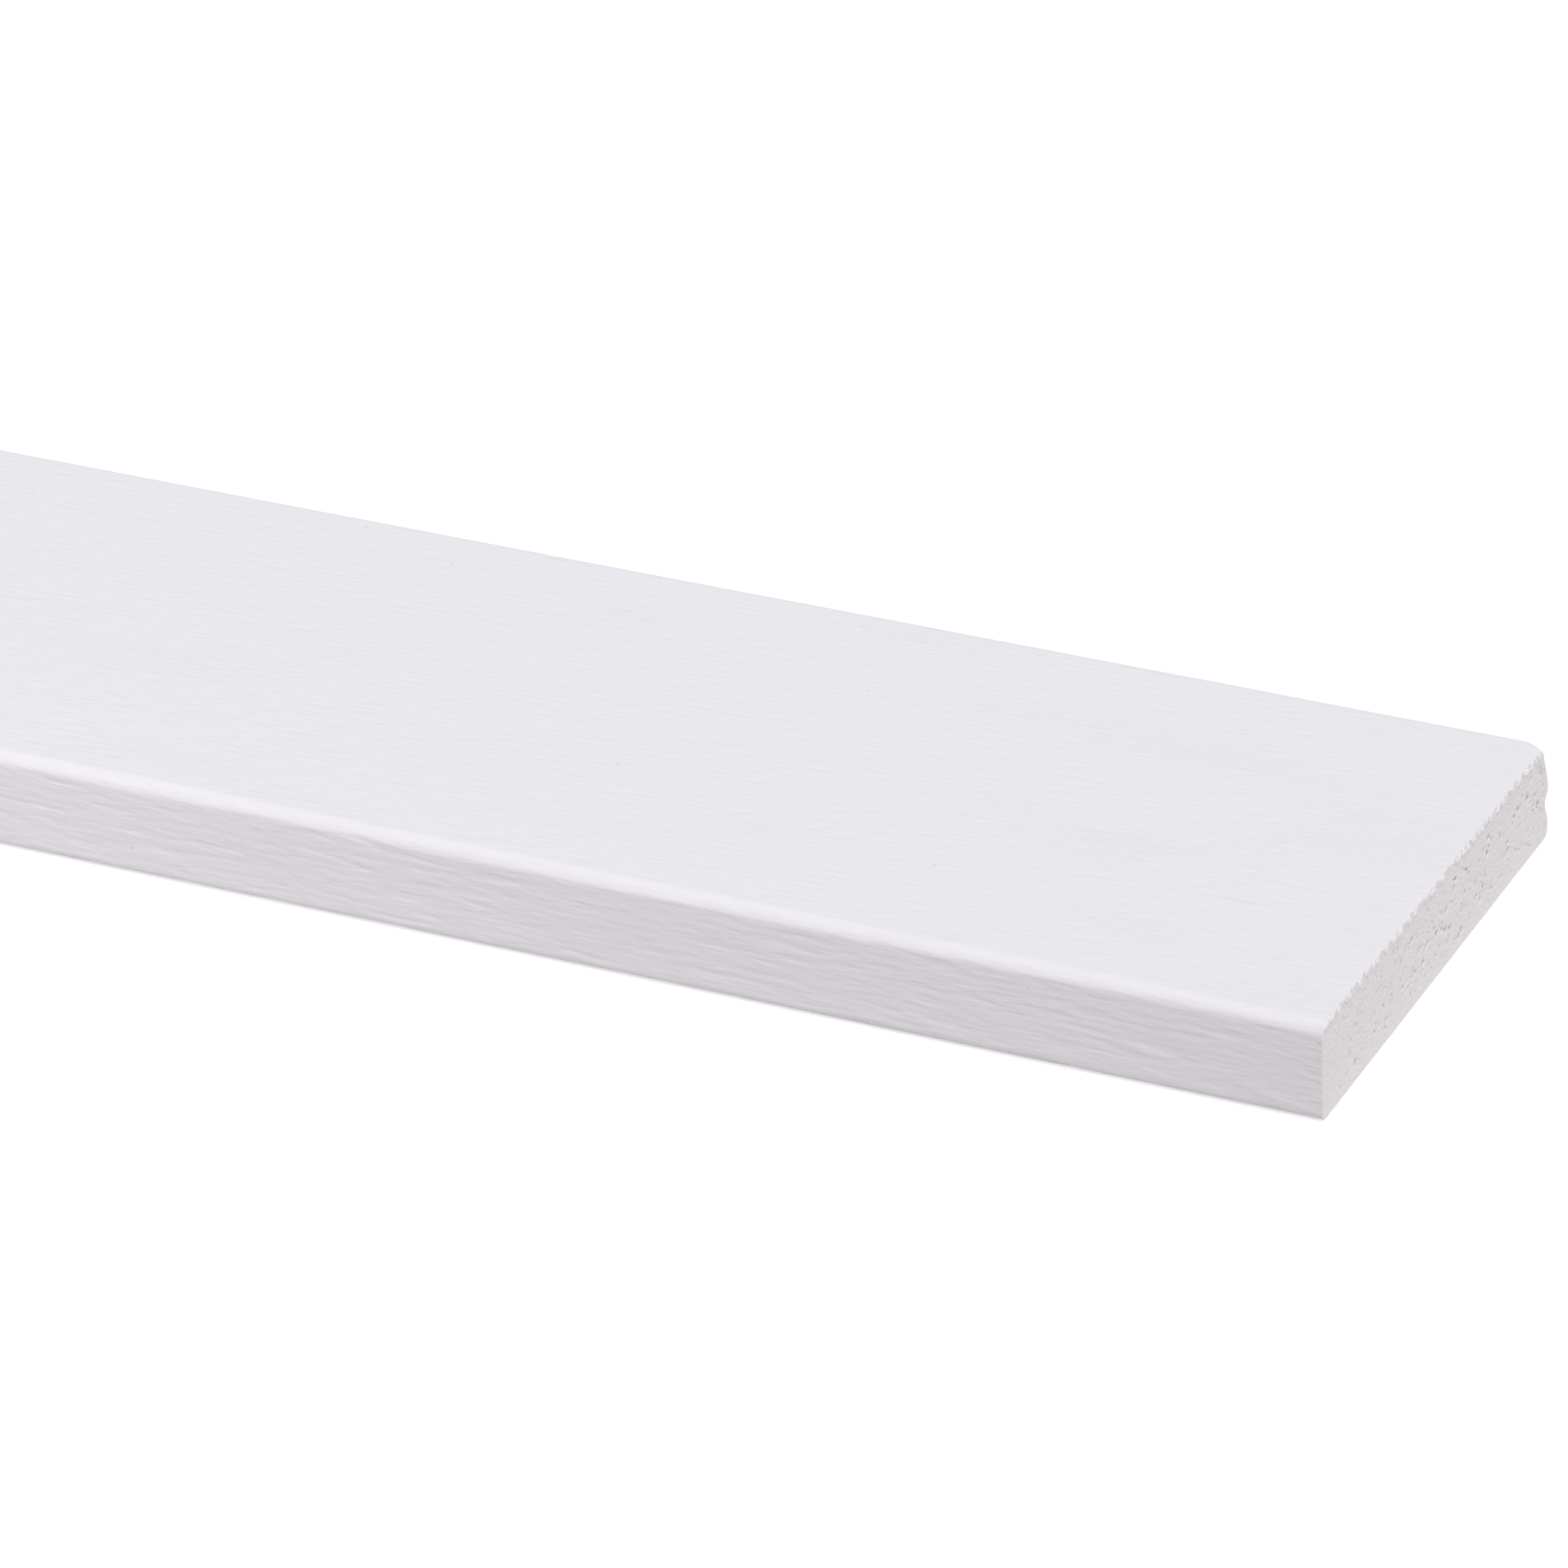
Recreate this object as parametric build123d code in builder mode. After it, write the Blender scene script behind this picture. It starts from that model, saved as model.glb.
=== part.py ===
"""Planed batten of white foamed plastic, one length of stock.

The batten is extruded in one piece, drawn through a sizing die that rounds its
four long edges, and embossed while warm. It is then sawn square to length.
It lies flat, with its back on the floor. X runs along the length, Y across the
width and Z up, and the origin is the middle of the back.
"""

import os

from build123d import *

# Size of the stock, in millimetres
length = 2400.0
width = 50.0
thickness = 9.0

# Rounding of the long edges, larger on the face than on the back
face_edge_radius = 1.2
back_edge_radius = 0.8

with BuildPart() as batten:
    # Section as seen from a sawn end, with the back on the floor
    with BuildSketch(Plane.YZ) as section:
        Rectangle(width, thickness, align=(Align.CENTER, Align.MIN))
        fillet(section.vertices().group_by(Axis.Y)[0], back_edge_radius)
        fillet(section.vertices().group_by(Axis.Y)[-1], face_edge_radius)
    # The section runs the same way out to both sawn ends
    extrude(amount=length / 2, both=True)

batten.part.label = "batten"

os.makedirs("parts", exist_ok=True)
export_step(batten.part, "parts/batten.step")
print(f"batten: {batten.part.volume / 1000:.1f} cm3, {batten.part.bounding_box()}")
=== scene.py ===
"""The planed batten as photographed: one length of white foamed plastic on a pale floor.

All sizes are in metres, in the frame of the solid model. X runs along the batten towards
the sawn end that the photograph shows, Y across it, away from the camera, and Z up.
Inside the node trees, lengths and places are in millimetres.
"""

from math import pi, radians

import bmesh
import bpy
from mathutils import Matrix, Vector


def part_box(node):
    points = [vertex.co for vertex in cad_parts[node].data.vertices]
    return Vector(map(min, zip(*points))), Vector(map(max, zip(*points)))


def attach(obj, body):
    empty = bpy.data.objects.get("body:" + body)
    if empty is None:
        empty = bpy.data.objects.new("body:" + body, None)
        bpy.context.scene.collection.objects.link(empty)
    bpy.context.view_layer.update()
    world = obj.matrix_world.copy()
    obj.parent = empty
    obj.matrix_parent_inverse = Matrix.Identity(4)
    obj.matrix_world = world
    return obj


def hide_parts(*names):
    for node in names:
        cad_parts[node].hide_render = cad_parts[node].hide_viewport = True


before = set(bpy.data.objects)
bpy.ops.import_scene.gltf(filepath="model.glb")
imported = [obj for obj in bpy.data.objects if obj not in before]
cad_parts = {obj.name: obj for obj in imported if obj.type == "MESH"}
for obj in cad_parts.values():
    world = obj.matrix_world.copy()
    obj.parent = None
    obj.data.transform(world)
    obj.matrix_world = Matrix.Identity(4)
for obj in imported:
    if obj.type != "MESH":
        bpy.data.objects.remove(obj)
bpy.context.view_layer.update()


# The camera
# It looks down on the sawn end from the right, with a long lens. Its place is worked out
# from where the near top corner of that end shows in the photograph, and how large.

mm = 0.001
low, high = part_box("batten")

# The saw cut lies this far inside the solid's end, which leaves room for the burr it raised
burr_height = 0.2 * mm
near_top_corner = Vector((high.x - burr_height, low.y, high.z))

photo_pixels = 1900
corner_pixel_across, corner_pixel_down = 1602.2, 1241.7
pixels_per_metre_at_corner = 15479
focal_length_in_pixels = 11214
sensor_width = 36

azimuth = radians(25.72)
elevation = radians(28.95)
roll = radians(-1.86)

turn = Matrix.Rotation(azimuth, 4, "Z") @ Matrix.Rotation(pi / 2 - elevation, 4, "X")
turn = turn @ Matrix.Rotation(roll, 4, "Z")
distance = focal_length_in_pixels / pixels_per_metre_at_corner
corner_right_of_middle = (corner_pixel_across - photo_pixels / 2) / pixels_per_metre_at_corner
corner_below_middle = (corner_pixel_down - photo_pixels / 2) / pixels_per_metre_at_corner
corner_from_camera = turn @ Vector((corner_right_of_middle, -corner_below_middle, -distance))

nearest_view = 0.05
farthest_view = 50
bpy.ops.object.camera_add()
camera = bpy.context.object
camera.name = "camera"
camera.matrix_world = Matrix.Translation(near_top_corner - corner_from_camera) @ turn
camera.data.sensor_width = sensor_width
camera.data.lens = focal_length_in_pixels / photo_pixels * sensor_width
camera.data.clip_start = nearest_view
camera.data.clip_end = farthest_view
bpy.context.scene.camera = camera


# The batten
# One length of white foamed plastic. It is extruded through a die that eases its long edges,
# a roll embosses a wood grain in its skin while it is warm, and a saw cuts both ends square.
# Here its section is drawn and run out along X, in short steps where the photograph looks closely.

width = high.y - low.y
thickness = high.z - low.z

face_edge_radius = 1.2 * mm
back_edge_radius = 0.8 * mm
face_edge_facets = 10
back_edge_facets = 6
near_side_steps = 52
far_side_steps = 18
face_steps = 120
back_steps = 24

# The length in runs, from the left end: where each run stops, from the right end, and its steps
right_end = high.x - burr_height
left_end = low.x + burr_height
runs = [
    (2380 * mm, 10),
    (2300 * mm, 8),
    (600 * mm, 42),
    (330 * mm, 12),
    (210 * mm, 12),
    (165 * mm, 16),
    (80 * mm, 100),
    (2 * mm, 96),
    (0 * mm, 6),
]
near_nothing = 0.01 * mm


def pick(kind, test):
    """Selects what passes a test among the vertices, edges or faces of the mesh in hand."""
    bpy.ops.mesh.select_mode(type=kind)
    bpy.ops.mesh.select_all(action="DESELECT")
    mesh = bmesh.from_edit_mesh(bpy.context.object.data)
    for item in {"VERT": mesh.verts, "EDGE": mesh.edges, "FACE": mesh.faces}[kind]:
        if test(item):
            item.select = True
    mesh.select_flush_mode()
    bmesh.update_edit_mesh(bpy.context.object.data)


def edges_within(test):
    """Turns a test on a place into one on an edge: both of its ends pass."""
    return lambda edge: all(test(corner.co) for corner in edge.verts)


def edges_from_to(left, right):
    """A test for the edges that run along X all the way from one place to another."""
    def runs_all_the_way(edge):
        first, last = sorted(corner.co.x for corner in edge.verts)
        return abs(first - left) < near_nothing and abs(last - right) < near_nothing
    return runs_all_the_way


bpy.ops.object.select_all(action="DESELECT")
bpy.ops.mesh.primitive_plane_add(size=1, location=(left_end, 0, thickness / 2), rotation=(0, pi / 2, 0))
batten = bpy.context.object
batten.name = "foamed_batten"
bpy.ops.object.transform_apply(location=True, rotation=True, scale=True)
bpy.ops.object.mode_set(mode="EDIT")
bpy.ops.transform.resize(value=(1, width, thickness), center_override=(left_end, 0, thickness / 2))

# The section: two edges eased to the face, two to the back, and the straight sides divided.
# A side is first cut in half, because one subdivide makes no more than 100 cuts.
pick("VERT", lambda corner: corner.co.z > thickness / 2)
bpy.ops.mesh.bevel(offset=face_edge_radius, segments=face_edge_facets, affect="VERTICES")
pick("VERT", lambda corner: corner.co.z < near_nothing)
bpy.ops.mesh.bevel(offset=back_edge_radius, segments=back_edge_facets, affect="VERTICES")
straights = [
    (near_side_steps, edges_within(lambda place: place.y < low.y + near_nothing)),
    (far_side_steps, edges_within(lambda place: place.y > high.y - near_nothing)),
    (face_steps, edges_within(lambda place: place.z > high.z - near_nothing)),
    (back_steps, edges_within(lambda place: place.z < low.z + near_nothing)),
]
for steps, straight in straights:
    pick("EDGE", straight)
    bpy.ops.mesh.subdivide(number_cuts=1)
    bpy.ops.mesh.subdivide(number_cuts=steps // 2 - 1)

# The runs along X, and then the steps of each
pick("FACE", lambda face: True)
stops = [left_end] + [right_end - from_right for from_right, steps in runs]
for left, right in zip(stops, stops[1:]):
    bpy.ops.mesh.extrude_region_move(TRANSFORM_OT_translate={"value": (right - left, 0, 0)})
for (from_right, steps), left, right in zip(runs, stops, stops[1:]):
    pick("EDGE", edges_from_to(left, right))
    bpy.ops.mesh.subdivide(number_cuts=steps - 1)

# The two sawn faces: a fine grid within each, joined to the rim, to hold the cells of the foam
rim_width = 0.5 * mm
right_cell_step = 0.15 * mm
left_cell_step = 0.6 * mm
inner_width = width - 2 * rim_width
inner_thickness = thickness - 2 * rim_width
least_normal_of_flat_end = 0.9
pick("FACE", lambda face: abs(face.normal.x) > least_normal_of_flat_end)
bpy.ops.mesh.delete(type="ONLY_FACE")
for end, step in ((right_end, right_cell_step), (left_end, left_cell_step)):
    middle = (end, 0, thickness / 2)
    bpy.ops.mesh.select_all(action="DESELECT")
    bpy.ops.mesh.primitive_grid_add(
        x_subdivisions=round(inner_thickness / step),
        y_subdivisions=round(inner_width / step),
        size=1,
        location=middle,
        rotation=(0, pi / 2, 0),
    )
    bpy.ops.transform.resize(value=(1, inner_width, inner_thickness), center_override=middle)
    at_this_end = edges_within(lambda place: abs(place.x - end) < near_nothing)
    pick("EDGE", lambda edge: edge.is_boundary and at_this_end(edge))
    bpy.ops.mesh.fill(use_beauty=True)
pick("FACE", lambda face: True)
bpy.ops.mesh.normals_make_consistent(inside=False)
bpy.ops.object.mode_set(mode="OBJECT")
sharpest_smooth_angle = radians(40)
bpy.ops.object.shade_smooth_by_angle(angle=sharpest_smooth_angle)


class Wire:
    """A socket in a node tree. Python's operators on it add Math nodes to that tree."""

    def __init__(self, tree, socket=None):
        self.tree = tree
        self.socket = socket

    def node(self, kind, settings, values, output=0):
        """Adds a node of a kind, sets it up, then sets or links its sockets, and gives an output."""
        made = self.tree.nodes.new(kind)
        for setting, choice in settings.items():
            setattr(made, setting, choice)
        for name, value in values.items():
            if isinstance(value, Wire):
                self.tree.links.new(value.socket, made.inputs[name])
            else:
                made.inputs[name].default_value = value
        return Wire(self.tree, made.outputs[output] if made.outputs else None)

    def maths(self, operation, *values):
        return self.node("ShaderNodeMath", {"operation": operation}, dict(enumerate(values)))

    def __add__(self, other):
        return self.maths("ADD", self, other)

    def __sub__(self, other):
        return self.maths("SUBTRACT", self, other)

    def __rsub__(self, other):
        return self.maths("SUBTRACT", other, self)

    def __mul__(self, other):
        return self.maths("MULTIPLY", self, other)

    __radd__ = __add__
    __rmul__ = __mul__

    def or_more(self, other):
        """The larger of this and another."""
        return self.maths("MAXIMUM", self, other)

    def rise(self, start, end):
        """Goes softly from 0 at the value start to 1 at the value end, which may be the smaller."""
        settings = {"interpolation_type": "SMOOTHSTEP"}
        return self.node("ShaderNodeMapRange", settings, {0: self, 1: start, 2: end})

    def vectors(self, operation, *values):
        return self.node("ShaderNodeVectorMath", {"operation": operation}, dict(enumerate(values)))

    def part(self, axis):
        """One part of a vector, by the letter of its axis."""
        return self.node("ShaderNodeSeparateXYZ", {}, {"Vector": self}, axis)

    def times(self, parts):
        """A vector with each of its parts multiplied by its own number."""
        return self.vectors("MULTIPLY", self, parts)

    def plus(self, other):
        """The sum of two vectors."""
        return self.vectors("ADD", self, other)

    def scaled(self, factor):
        """A vector multiplied by one number."""
        return self.node("ShaderNodeVectorMath", {"operation": "SCALE"}, {"Vector": self, "Scale": factor})

    def far_from(self, point):
        """The distance from a point."""
        return self.node("ShaderNodeVectorMath", {"operation": "DISTANCE"}, {0: self, 1: point}, "Value")

    def noise(self, size, detail=0):
        """Smooth noise about 0.5, with lumps of these sizes along X, Y and Z."""
        stretched = self.times([1 / length for length in size])
        values = {"Vector": stretched, "Scale": 1, "Detail": detail}
        return self.node("ShaderNodeTexNoise", {}, values, "Fac")

    def cells(self, size, output):
        """Cells of about this size, as the distance to each one's middle or a colour of its own."""
        return self.node("ShaderNodeTexVoronoi", {}, {"Vector": self, "Scale": 1 / size}, output)

    def mix(self, colour, other):
        """Goes from one colour to another as this mask goes from 0 to 1. A Mix node has its
        colours at inputs 6 and 7 and output 2."""
        return self.node("ShaderNodeMix", {"data_type": "RGBA"}, {0: self, 6: colour, 7: other}, 2)


end_mm = right_end / mm
near_mm, far_mm, top_mm = low.y / mm, high.y / mm, high.z / mm

# The embossed grain. Sizes are along the batten, across it and up, and depths are below the skin.
# The strokes of the sides are in the mesh where the photograph shows them, and bump beyond that.
modelled_from = end_mm - 165
modelled_fade = 5
stroke_size = (4.2, 0.6, 0.62)
stroke_depth = 0.045
bunch_size = (13, 4, 3.5)
bunch_weight = 0.35
stroke_starts, stroke_full = 0.8, 0.9
wander_size = (45, 16, 16)
wander_reach = 2
sink_per_length = 0.03


def grain_strokes(place):
    """Where the embossing roll pressed its short strokes, from 0 to 1. They come in bunches,
    wander a little, and sink slowly towards the sawn end."""
    sink = place.part("X") * sink_per_length + place.noise(wander_size) * wander_reach
    run = place.plus(place.node("ShaderNodeCombineXYZ", {}, {"Y": sink, "Z": sink}))
    pressed = run.noise(stroke_size) + run.noise(bunch_size) * bunch_weight
    return pressed.rise(stroke_starts, stroke_full)


def beside_face(outward):
    """1 on the sides and the back, 0 on the face, and between the two on the face's eased edges."""
    return outward.part("Z").rise(0.75, 0.3)


# What the die leaves: a slow swell all round, a droop of the face to the near side, uneven edges
swell_size = (22, 7, 7)
swell_depth = 0.05
droop_inner, droop_outer = near_mm + 5.5, near_mm + 0.8
droop_depth = 0.06
wobble_size = (5, 5, 5)
wobble_depth = 0.05


def skin_depth(place, outward):
    """How far the skin lies below the plain section."""
    up = outward.part("Z")
    modelled = place.part("X").rise(modelled_from, modelled_from + modelled_fade)
    strokes = grain_strokes(place) * beside_face(outward) * modelled * stroke_depth
    swell = place.noise(swell_size) * swell_depth
    droop = place.part("Y").rise(droop_inner, droop_outer) * up.rise(0, 1) * droop_depth
    on_eased_edge = up.rise(0.2, 0.7) * up.rise(0.97, 0.75)
    wobble = place.noise(wobble_size, detail=1) * on_eased_edge * wobble_depth
    return strokes + swell + droop + wobble


# The cells that the saw opened. A rim and a floor are shares of a cell's size. How far a cell is
# open goes by its own random number, from the first value for its kind to the second.
pore_depth = 0.3
pore_floor = 0.1
small_cell, small_rim, small_opens, small_weight = 0.6, 0.36, (0.35, 0.6), 0.6
large_cell, large_rim, large_opens, large_weight = 1.3, 0.27, (0.5, 0.6), 0.8
raggedness_per_mm = 2.2
raggedness_reach = 0.7

# The cells fade out in the dense skin, and the large ones also towards the near side
core_bottom = (0.5, 1.6)
core_top = (8.2, 7.2)
core_near = (near_mm + 1.5, near_mm + 5)
coarse_from = (near_mm + 14, near_mm + 24)

# Pores that stand out on the sawn face: from the near side, height, and radius
large_pores = [
    (42.5, 2.4, 0.40), (28.9, 6.9, 0.36), (47.6, 4.1, 0.34), (36.0, 5.5, 0.36), (19.2, 6.4, 0.38),
    (22.5, 4.2, 0.36), (29.7, 1.1, 0.30), (26.7, 5.0, 0.34), (45.2, 5.8, 0.30), (38.8, 5.7, 0.28),
    (42.2, 5.8, 0.30), (24.7, 4.1, 0.30), (27.5, 3.0, 0.28), (15.4, 7.4, 0.26),
]
large_pore_floor = 0.35


def open_cells(sawn, size, rim, opens):
    """Round pits in the middles of those cells of a size that the saw opened, from 0 to 1."""
    pits = sawn.cells(size, "Distance").rise(rim, pore_floor)
    return pits * sawn.cells(size, "Color").part("X").rise(*opens)


def foam_pores(place):
    """Cells that the saw opened, from 0 to 1. They are large towards the far side and fade out
    in the dense skin."""
    sawn = place.times((0, 1, 1))
    values = {"Vector": sawn, "Scale": raggedness_per_mm, "Detail": 1}
    ragged = sawn.node("ShaderNodeTexNoise", {}, values, "Color")
    sawn = sawn.plus(ragged.vectors("SUBTRACT", ragged, (0.5, 0.5, 0.5)).scaled(raggedness_reach))
    across, up = sawn.part("Y"), sawn.part("Z")
    core = up.rise(*core_bottom) * up.rise(*core_top) * across.rise(*core_near)
    small = open_cells(sawn, small_cell, small_rim, small_opens) * small_weight
    large = open_cells(sawn, large_cell, large_rim, large_opens) * across.rise(*coarse_from) * large_weight
    pores = small.or_more(large) * core
    for from_near, height, radius in large_pores:
        away = sawn.far_from((0, near_mm + from_near, height))
        pores = pores.or_more(away.rise(radius, radius * large_pore_floor))
    return pores


# The burr that the saw raised: heights where it starts and is full, and the size of its tufts
burr_band = (top_mm - 0.9, top_mm - 0.45)
tuft_size = (1, 0.8, 1.1)
tuft_starts, tuft_full = 0.4, 0.58


def burr(place):
    """Tufts of torn skin along the face's edge, from 0 to 1."""
    tufts = place.times((0, 1, 1)).noise(tuft_size, detail=1).rise(tuft_starts, tuft_full)
    return place.part("Z").rise(*burr_band) * tufts


def sawn_depth(place):
    """How far the sawn face lies inside the plain end. The burr stands up from it."""
    return foam_pores(place) * pore_depth - burr(place) * (burr_height / mm)


# The wear of the far side at the sawn end: a slant up to the face, and a notch below it
slant_rises = (4.6, 8.6)
slant_depth = 1.08
notch_deepens = (1.2, 3.3)
notch_closes = (4.1, 3.75)
notch_depth = 0.65
wear_length = 1.8
wear_across = (far_mm - 3.5, far_mm - 0.5)


def worn_far_corner(place):
    """How far the far side is knocked in, at the sawn end alone. Only the first half of the soft
    step along X lies on the batten, so the wear is steepest at the saw cut."""
    up = place.part("Z")
    slant = up.rise(*slant_rises) * slant_depth
    notch = up.rise(*notch_deepens) * up.rise(*notch_closes) * notch_depth
    along = place.part("X").rise(end_mm - wear_length, end_mm + wear_length) * 2
    return (slant + notch) * along * place.part("Y").rise(*wear_across)


relief = bpy.data.node_groups.new("embossing and saw marks", "GeometryNodeTree")
relief.interface.new_socket("Geometry", in_out="INPUT", socket_type="NodeSocketGeometry")
relief.interface.new_socket("Geometry", in_out="OUTPUT", socket_type="NodeSocketGeometry")
start = Wire(relief)
plain = start.node("NodeGroupInput", {}, {}, "Geometry")
place = start.node("GeometryNodeInputPosition", {}, {}, "Position").scaled(1 / mm)
outward = start.node("GeometryNodeInputNormal", {}, {}, "Normal")
skin_move = outward.times((0, 1, 1)).scaled(skin_depth(place, outward) * -1)
sawn_move = outward.times((1, 0, 0)).scaled(sawn_depth(place) * -1)
wear_move = start.node("ShaderNodeCombineXYZ", {}, {"Y": worn_far_corner(place) * -1})
move = skin_move.plus(sawn_move).plus(wear_move).scaled(mm)
worked = start.node("GeometryNodeSetPosition", {}, {"Geometry": plain, "Offset": move}, "Geometry")
start.node("NodeGroupOutput", {}, {"Geometry": worked})
modifier = batten.modifiers.new("relief", "NODES")
modifier.node_group = relief
bpy.ops.object.modifier_apply(modifier=modifier.name)


def blank_material(name):
    """A new material with an empty node tree, and a wire to start that tree with."""
    material = bpy.data.materials.new(name)
    material.use_nodes = True
    material.node_tree.nodes.clear()
    return material, Wire(material.node_tree)


def plastic_surface(start, colour, roughness, height):
    """Ends a tree with foamed plastic of a colour and a roughness, its fine relief in millimetres."""
    bump = start.node("ShaderNodeBump", {}, {"Strength": 1, "Distance": mm, "Height": height}, "Normal")
    values = {"Base Color": colour, "Roughness": roughness, "Normal": bump}
    shader = start.node("ShaderNodeBsdfPrincipled", {}, values)
    start.node("ShaderNodeOutputMaterial", {}, {"Surface": shader})


# The skin: satin white with a breath of violet, finely grained
face_colour = (0.80, 0.785, 0.83, 1)
side_colour = (0.81, 0.77, 0.81, 1)
skin_roughness = 0.5
dash_size = (2.6, 0.55, 0.5)
dash_height = 0.09
fibre_size = (8, 0.4, 0.4)
fibre_height = 0.03
face_stroke_depth = 0.008

# Dust, as a thin uneven film and as specks, with the strength of each
dust_colour = (0.52, 0.47, 0.46, 1)
film_size = (30, 9, 9)
film_starts, film_full = 0.52, 0.85
film_strength = 0.06
face_speck_strength = 0.35
side_speck_strength = 0.5

# Specks of dust on the face, and on the near side: place from the sawn end, across or up, and radius
face_specks = [
    (98.5, 44.5, 0.3), (69.7, 17.5, 0.28), (139.0, 43.1, 0.25), (140.2, 40.1, 0.22), (108.6, 48.0, 0.3),
    (60.9, 47.0, 0.25), (55.7, 36.9, 0.25), (38.5, 11.9, 0.3), (41.9, 29.6, 0.25),
]
side_specks = [
    (106.3, 2.5, 0.22), (23.7, 7.1, 0.16), (25.2, 6.7, 0.2), (20.8, 7.3, 0.16), (0.3, 8.4, 0.25),
    (0.25, 7.2, 0.2), (0.3, 5.9, 0.16), (0.3, 3.6, 0.18), (0.9, 8.7, 0.25),
]
skin, start = blank_material("embossed skin")
place = start.node("ShaderNodeTexCoord", {}, {}, "Object").scaled(1 / mm)
outward = start.node("ShaderNodeNewGeometry", {}, {}, "Normal")
beyond = 1 - place.part("X").rise(modelled_from, modelled_from + modelled_fade)
on_face = 1 - beside_face(outward)
dashes = place.noise(dash_size, detail=1)
fibres = place.noise(fibre_size, detail=2)
strokes = grain_strokes(place) * (on_face * face_stroke_depth + beyond * (1 - on_face) * stroke_depth)
dust = place.noise(film_size, detail=2).rise(film_starts, film_full) * film_strength
for from_end, across, radius in face_specks:
    away = place.far_from((end_mm - from_end, near_mm + across, top_mm))
    dust = dust.or_more(away.rise(radius, 0) * face_speck_strength)
for from_end, above, radius in side_specks:
    away = place.far_from((end_mm - from_end, near_mm, above))
    dust = dust.or_more(away.rise(radius, 0) * side_speck_strength)
colour = dust.mix(on_face.mix(side_colour, face_colour), dust_colour)
plastic_surface(start, colour, skin_roughness, dashes * dash_height + fibres * fibre_height - strokes)

# The sawn foam: the same plastic, a little warmer, with painted shade in its pores and a pale burr
foam_colour = (0.80, 0.76, 0.77, 1)
pore_painted_shade_colour = (0.40, 0.36, 0.37, 1)
burr_colour = (0.95, 0.94, 0.95, 1)
foam_roughness = 0.7
painted_shade_in_pores = 0.85
fuzz_size = (0.35, 0.35, 0.35)
fuzz_starts, fuzz_full = 0.55, 0.8
fuzz_shade = 0.12
fuzz_height = 0.12
foam, start = blank_material("sawn foam")
place = start.node("ShaderNodeTexCoord", {}, {}, "Object").scaled(1 / mm)
fuzz = place.noise(fuzz_size, detail=2)
# Painted shade: the open pores are coloured darker, as the shade inside them would make them look; the
# fuzz darkens the foam at random
shade = foam_pores(place) * painted_shade_in_pores + fuzz.rise(fuzz_starts, fuzz_full) * fuzz_shade
colour = burr(place).mix(shade.mix(foam_colour, pore_painted_shade_colour), burr_colour)
plastic_surface(start, colour, foam_roughness, fuzz * fuzz_height)

# The foam shows on the sawn ends, down to the floors of the pores and on their walls
sawn_reach = 0.4 * mm
least_normal_of_pore_wall = 0.3


def is_sawn(face):
    """Whether a face lies at either end and looks out along X, or partly so as a pore's wall does."""
    along = face.calc_center_median().x
    inside = min(abs(along - end) for end in (right_end, left_end))
    return inside < sawn_reach and abs(face.normal.x) > least_normal_of_pore_wall


batten.data.materials.append(skin)
batten.data.materials.append(foam)
bpy.ops.object.mode_set(mode="EDIT")
pick("FACE", is_sawn)
batten.active_material_index = 1
bpy.ops.object.material_slot_assign()
bpy.ops.object.mode_set(mode="OBJECT")

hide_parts("batten")
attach(batten, "root")


# The floor
# A wide pale board, just clear of the batten. To the camera it is white wherever nothing
# shades it, and it keeps a soft shadow. It throws less light back up than it seems to.

floor_size = 12
floor_gap = 0.02 * mm
thrown_back = 0.62
seen_paint = 0.45
seen_glow = 0.62


def seen_rays(start):
    """1 for what the camera sees, straight or by a mirror or a glass, and 0 for scattered light."""
    seen = start.node("ShaderNodeLightPath", {}, {}, "Is Camera Ray")
    for kind in ("Is Glossy Ray", "Is Transmission Ray"):
        seen = seen.or_more(start.node("ShaderNodeLightPath", {}, {}, kind))
    return seen


def grey(level):
    return (level, level, level, 1)


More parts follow.
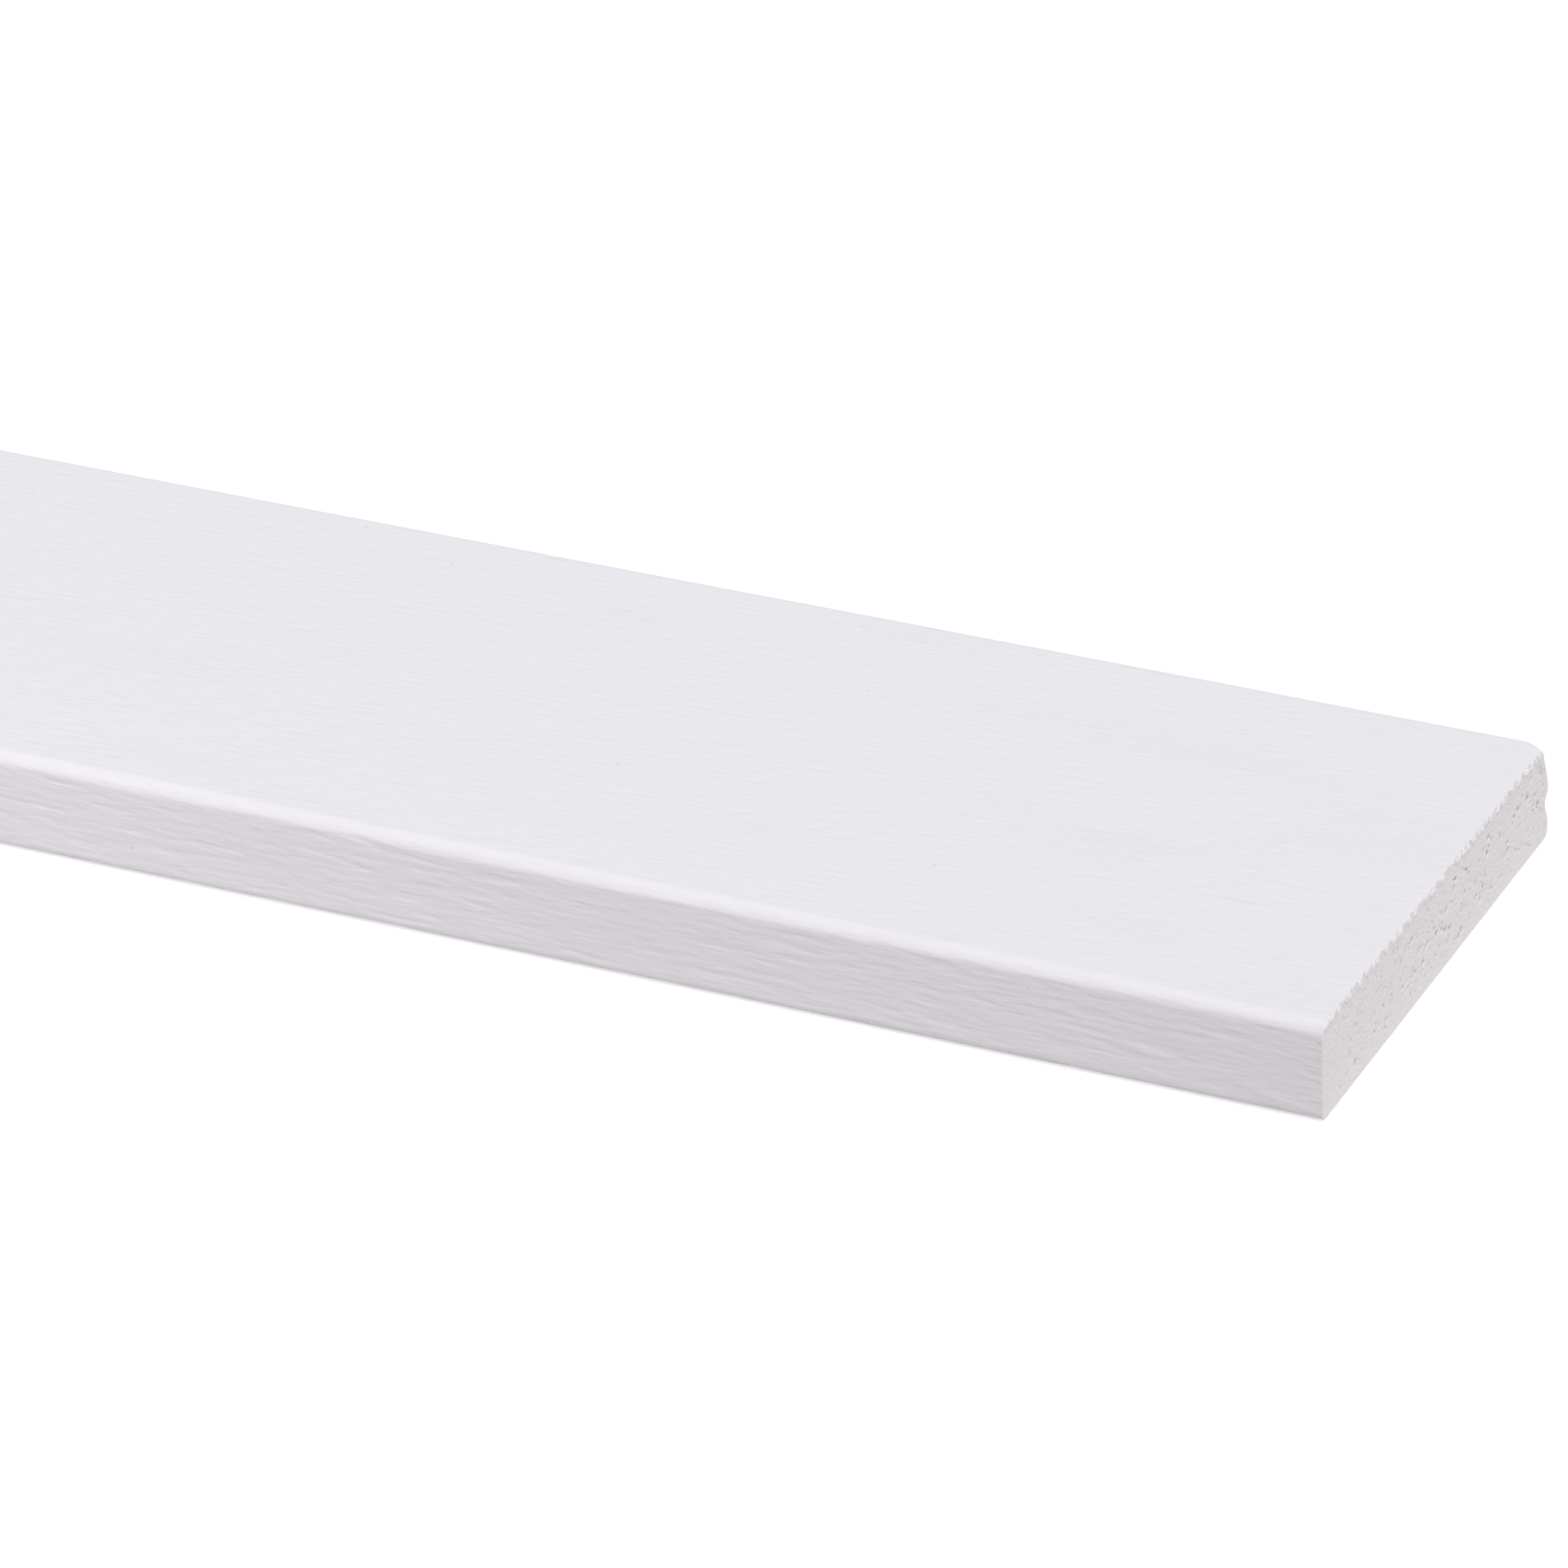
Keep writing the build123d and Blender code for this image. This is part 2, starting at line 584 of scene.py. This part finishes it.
bpy.ops.object.select_all(action="DESELECT")
bpy.ops.mesh.primitive_plane_add(size=floor_size, location=(0, 0, low.z - floor_gap))
floor = bpy.context.object
floor.name = "floor"
bpy.ops.object.transform_apply(location=True, rotation=True, scale=True)
paint, start = blank_material("white floor")
plain_board = start.node("ShaderNodeBsdfDiffuse", {}, {"Color": grey(thrown_back)})
painted_board = start.node("ShaderNodeBsdfDiffuse", {}, {"Color": grey(seen_paint)})
glow = start.node("ShaderNodeEmission", {}, {"Color": grey(1), "Strength": seen_glow})
lit_board = start.node("ShaderNodeAddShader", {}, {0: painted_board, 1: glow})
board = start.node("ShaderNodeMixShader", {}, {0: seen_rays(start), 1: plain_board, 2: lit_board})
start.node("ShaderNodeOutputMaterial", {}, {"Surface": board})
floor.data.materials.append(paint)


# The light
# A white tent all round, a broad lamp above to the front and right, and a weak small one before
# the near side, towards the left of the photograph. The tent is dimmer than it looks.

tent_strength = 0.35
world = bpy.data.worlds.new("white tent")
bpy.context.scene.world = world
world.use_nodes = True
world.node_tree.nodes.clear()
start = Wire(world.node_tree)
strength = seen_rays(start) * (1 - tent_strength) + tent_strength
tent = start.node("ShaderNodeBackground", {}, {"Color": grey(1), "Strength": strength})
start.node("ShaderNodeOutputWorld", {}, {"Surface": tent})


def facing_from(direction):
    """The turn of a lamp that shines from a direction."""
    return direction.to_track_quat("Z", "Y").to_euler()


# The longer this arrow, the brighter the lamp
towards_lamp = Vector((0.345, -0.19, 0.645))
lamp_spread = radians(45)
bpy.ops.object.light_add(type="SUN")
lamp = bpy.context.object
lamp.name = "broad lamp"
lamp.data.energy = towards_lamp.length * pi
lamp.data.angle = lamp_spread
lamp.rotation_euler = facing_from(towards_lamp)

fill_place = Vector((high.x - 0.16, low.y - 0.15, 0.03))
fill_watts = 0.047
fill_size = 0.08
bpy.ops.object.light_add(type="AREA", location=fill_place)
fill = bpy.context.object
fill.name = "fill lamp"
fill.data.size = fill_size
fill.data.energy = fill_watts
fill.visible_camera = False
fill.rotation_euler = facing_from(Vector((0, -1, 0)))

bpy.context.scene.view_settings.view_transform = "Standard"
